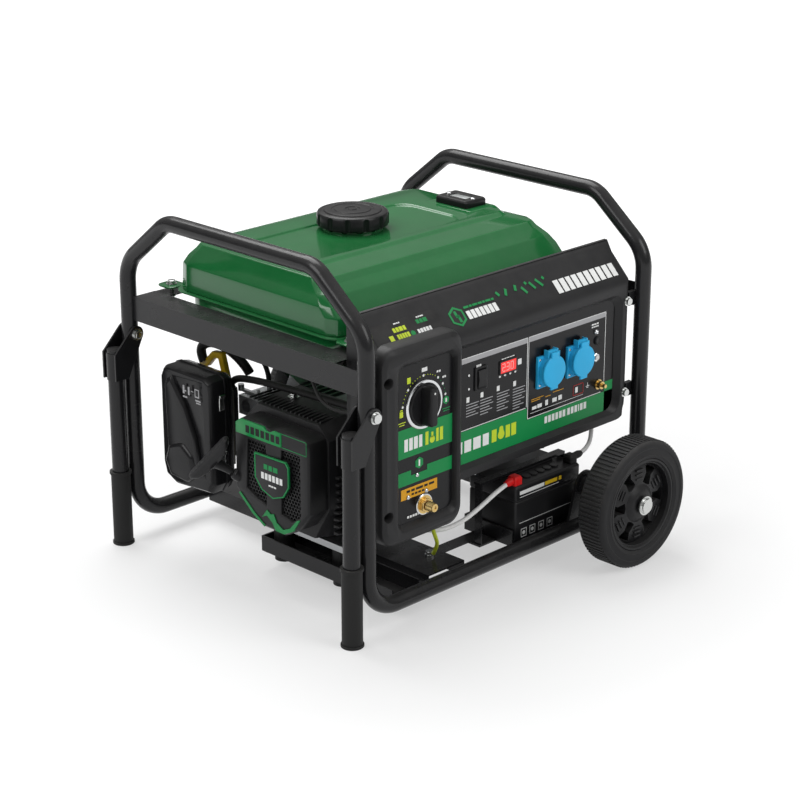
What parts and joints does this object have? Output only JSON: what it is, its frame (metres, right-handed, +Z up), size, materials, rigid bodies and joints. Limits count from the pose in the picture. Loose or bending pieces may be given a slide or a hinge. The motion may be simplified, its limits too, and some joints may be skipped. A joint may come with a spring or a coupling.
{
  "type": "portable generator",
  "caption": "Open-frame petrol and gas generator on wheels and folding legs: green fuel tank, black control console with blue covered sockets, recoil-start engine, starter battery.",
  "frame": {"origin": "on the floor, under the middle of the machine's box", "axes": "+X along the frame from the recoil end to the wheel end, -Y towards the control console, +Z up"},
  "size_m": [0.6592, 0.77, 0.5472],
  "materials": {
    "frame_black": "satin powder coat",
    "tank_green": "gloss",
    "console_black": "fine texture",
    "engine_plastic": "satin",
    "gloss_black": "semi gloss",
    "panel_black": "printed film",
    "socket_blue": "moulded",
    "zinc": "zinc plated",
    "steel": "machined",
    "cast_alloy": "as cast",
    "cast_iron": "machined",
    "brass": "turned",
    "rubber": "matte",
    "tyre": "matte",
    "hub_plastic": "moulded",
    "battery_case": "moulded",
    "cable_white": "pvc sheath",
    "earth_sheath": "pvc sheath",
    "filter_foam": "foam",
    "muffler_steel": "heat resistant"
  },
  "bodies": {
    "frame": {"air_cleaner_base": "gloss_black", "air_cleaner_cover": "gloss_black", "air_filter_element": "filter_foam", "alternator_end_cover": "cast_alloy", "axle_bolts": "zinc", "back_bottom_rail": "frame_black", "base_channels": "frame_black", "battery": "battery_case", "battery_tray": "frame_black", "carburettor": "cast_alloy", "console_back_plate": "frame_black", "console_housing": "console_black", "crankcase": "cast_alloy", "cylinder_block": "cast_alloy", "earth_cable": "earth_sheath", "earth_terminal": "brass", "fan_shroud": "engine_plastic", "flange_bolts": "zinc", "front_bottom_rail": "frame_black", "fuel_gauge": "gloss_black", "fuel_hose": "rubber", "fuel_tank": "tank_green", "gas_inlet_fitting": "brass", "handle_pivot_bolts": "zinc", "main_panel": "panel_black", "muffler": "muffler_steel", "negative_cable": "cable_white", "positive_cable": "cable_white", "recoil_cover": "engine_plastic", "recoil_end_cross_plate": "frame_black", "recoil_end_hoop": "frame_black", "rocker_cover": "cast_alloy", "rubber_mounts": "rubber", "selector_panel": "panel_black", "socket_bodies": "socket_blue", "spark_plug_and_cap": "gloss_black", "starter_motor": "steel", "stator_housing": "cast_alloy", "wheel_end_cross_plate": "frame_black", "wheel_end_hoop": "frame_black"},
    "front_leg": {"front_leg": "frame_black", "front_leg_grip": "rubber"},
    "back_leg": {"back_leg": "frame_black", "back_leg_grip": "rubber"},
    "front_wheel": {"front_wheel_hub": "hub_plastic", "front_wheel_tyre": "tyre"},
    "back_wheel": {"back_wheel_hub": "hub_plastic", "back_wheel_tyre": "tyre"},
    "fuel_cap": {"fuel_cap": "gloss_black"},
    "selector_dial": {"selector_dial": "gloss_black"},
    "rocker_switch": {"rocker_switch": "gloss_black"},
    "left_socket_lid": {"left_socket_lid": "socket_blue"},
    "right_socket_lid": {"right_socket_lid": "socket_blue"},
    "breaker_button": {"breaker_button": "gloss_black"},
    "recoil_grip": {"recoil_grip": "gloss_black"},
    "recoil_pulley": {"recoil_pulley": "engine_plastic"},
    "crankshaft": {"crankshaft_and_rotor": "cast_iron", "flywheel": "cast_iron"},
    "choke_lever": {"choke_lever": "steel"},
    "oil_dipstick": {"oil_dipstick": "gloss_black"}
  },
  "joints": [
    {"name": "front_leg_fold", "type": "hinge", "parent": "frame", "child": "front_leg", "pos_m": [-0.282, -0.26, 0.342], "axis": [0, 1, 0], "range_deg": [0, 90]},
    {"name": "back_leg_fold", "type": "hinge", "parent": "frame", "child": "back_leg", "pos_m": [-0.282, 0.26, 0.342], "axis": [0, 1, 0], "range_deg": [0, 90]},
    {"name": "front_wheel_spin", "type": "hinge", "parent": "frame", "child": "front_wheel", "pos_m": [0.192, -0.353, 0.102], "axis": [0, 1, 0], "continuous": true},
    {"name": "back_wheel_spin", "type": "hinge", "parent": "frame", "child": "back_wheel", "pos_m": [0.192, 0.353, 0.102], "axis": [0, 1, 0], "continuous": true},
    {"name": "fuel_cap_lift", "type": "slide", "parent": "frame", "child": "fuel_cap", "axis": [0, 0, 1], "range_m": [0, 0.06]},
    {"name": "selector_turn", "type": "hinge", "parent": "frame", "child": "selector_dial", "pos_m": [-0.171, -0.27, 0.33], "axis": [0, -1, 0], "range_deg": [-90, 90]},
    {"name": "rocker_tilt", "type": "hinge", "parent": "frame", "child": "rocker_switch", "pos_m": [-0.041, -0.2495, 0.334], "axis": [1, 0, 0], "range_deg": [-8, 8]},
    {"name": "left_lid_open", "type": "hinge", "parent": "frame", "child": "left_socket_lid", "pos_m": [0.106, -0.259, 0.341], "axis": [-1, 0, 0], "range_deg": [0, 110], "stiffness_Nm_per_rad": 0.02, "springref_deg": -34.38},
    {"name": "right_lid_open", "type": "hinge", "parent": "frame", "child": "right_socket_lid", "pos_m": [0.174, -0.259, 0.341], "axis": [-1, 0, 0], "range_deg": [0, 110], "stiffness_Nm_per_rad": 0.02, "springref_deg": -34.38},
    {"name": "breaker_press", "type": "slide", "parent": "frame", "child": "breaker_button", "axis": [0, 1, 0], "range_m": [0, 0.0025], "stiffness_N_per_m": 400},
    {"name": "recoil_pull", "type": "slide", "parent": "frame", "child": "recoil_grip", "axis": [-0.646, 0.495, 0.581], "range_m": [0, 0.9], "stiffness_N_per_m": 10, "springref_m": -1},
    {"name": "pulley_spin", "type": "hinge", "parent": "frame", "child": "recoil_pulley", "pos_m": [-0.256, -0.05, 0.18], "axis": [1, 0, 0], "range_deg": [0, 1260]},
    {"name": "crank_spin", "type": "hinge", "parent": "frame", "child": "crankshaft", "pos_m": [-0.1, -0.05, 0.18], "axis": [1, 0, 0], "continuous": true},
    {"name": "choke_turn", "type": "hinge", "parent": "frame", "child": "choke_lever", "pos_m": [-0.176, 0.086, 0.256], "axis": [0, 0, -1], "range_deg": [0, 50]},
    {"name": "oil_cap_turn", "type": "hinge", "parent": "frame", "child": "oil_dipstick", "pos_m": [-0.085, -0.12, 0.104], "axis": [0, 1, 0], "range_deg": [0, 720]}
  ],
  "couplings": [
    {"joint": "pulley_spin", "follows": "recoil_pull", "rad_per_m": 23.809}
  ]
}
